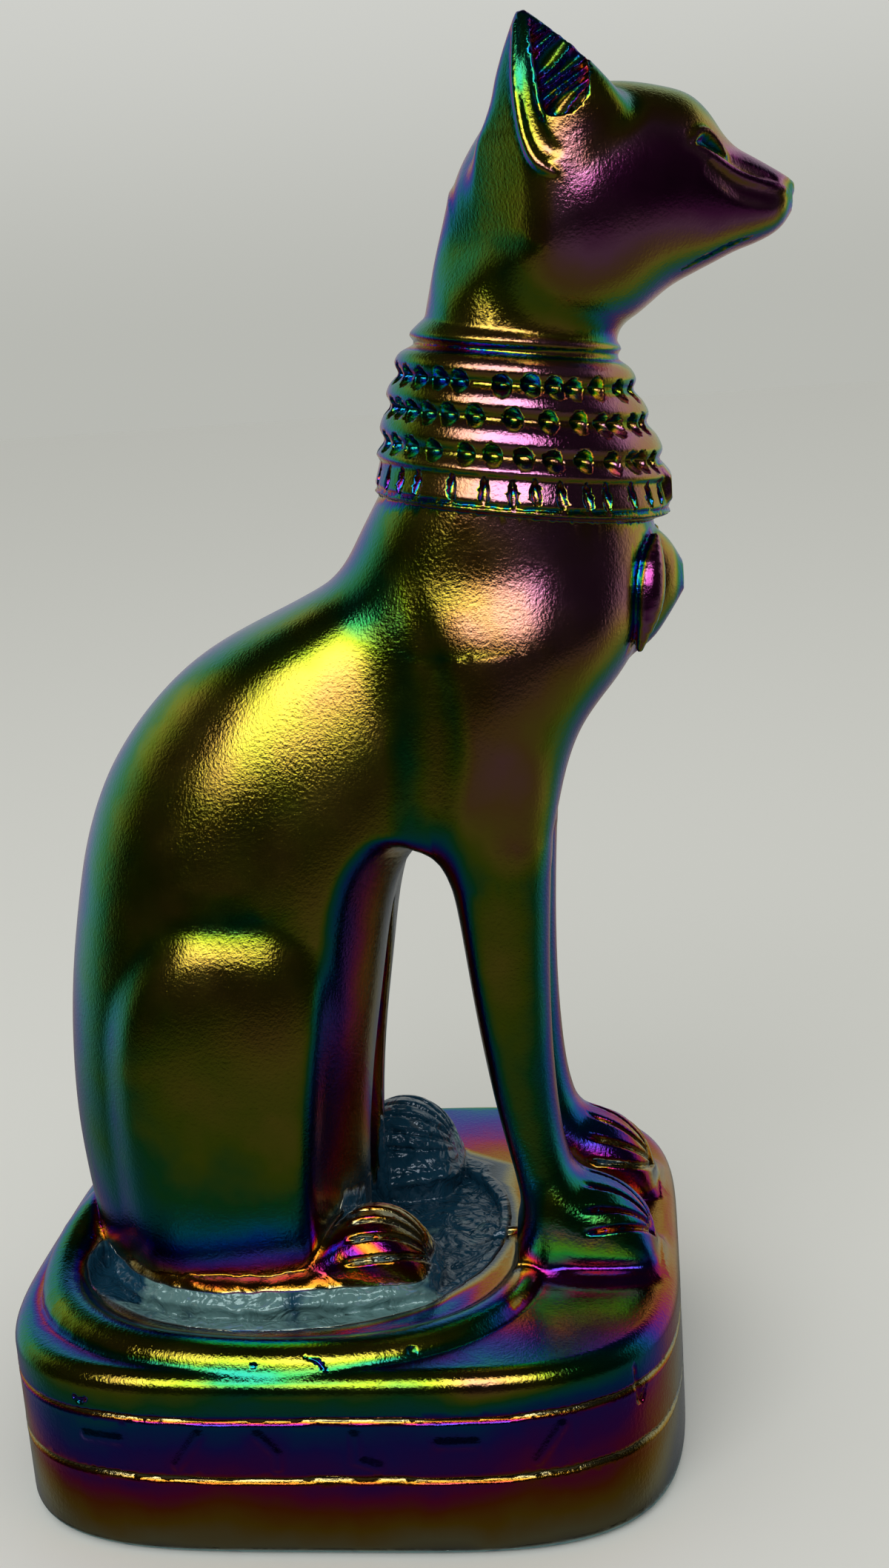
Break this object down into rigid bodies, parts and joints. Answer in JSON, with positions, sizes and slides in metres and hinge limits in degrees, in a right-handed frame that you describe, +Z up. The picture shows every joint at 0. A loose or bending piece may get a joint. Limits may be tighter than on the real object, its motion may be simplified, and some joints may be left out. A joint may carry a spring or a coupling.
{
  "type": "bastet cat figure",
  "caption": "Seated temple cat with a broad bead collar on a low rounded plinth, cast in one piece of glass with a rainbow metal lustre.",
  "frame": {"origin": "middle of the plinth's flat underside", "axes": "+X the way the cat faces, +Y the cat's left side, +Z up"},
  "size_m": [0.0896, 0.0661, 0.15],
  "materials": {
    "lustre_glass": "dark cast glass under a thin rainbow metal film: olive and gold on the faces, turning teal, blue and purple where they turn away, satin, fine scratches"
  },
  "bodies": {
    "root": {"bastet_cat": "lustre_glass"}
  },
  "joints": []
}
